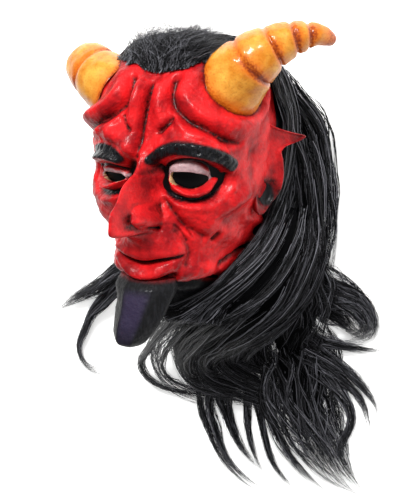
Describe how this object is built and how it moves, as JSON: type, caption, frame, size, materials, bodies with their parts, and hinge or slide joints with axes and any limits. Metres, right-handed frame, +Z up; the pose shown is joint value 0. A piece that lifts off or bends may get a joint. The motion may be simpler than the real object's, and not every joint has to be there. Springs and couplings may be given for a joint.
{
  "type": "devil mask",
  "caption": "Full-head devil mask with curved ringed horns, pointed ears, a chin beard and long loose wig hair, lying face up on its back.",
  "frame": {"origin": "the flat underside of the hair, under the neck opening, where the mask lies on a level surface", "axes": "+X to the mask's own left, +Y from the chin to the crown, +Z up from the surface, the way the face looks"},
  "size_m": [0.3904, 0.4935, 0.2599],
  "materials": {
    "latex": "glossy",
    "horn": "glossy",
    "hair": "satin"
  },
  "bodies": {
    "root": {"mask_skin": "latex", "left_horn": "horn", "right_horn": "horn", "hair": "hair"}
  },
  "joints": []
}
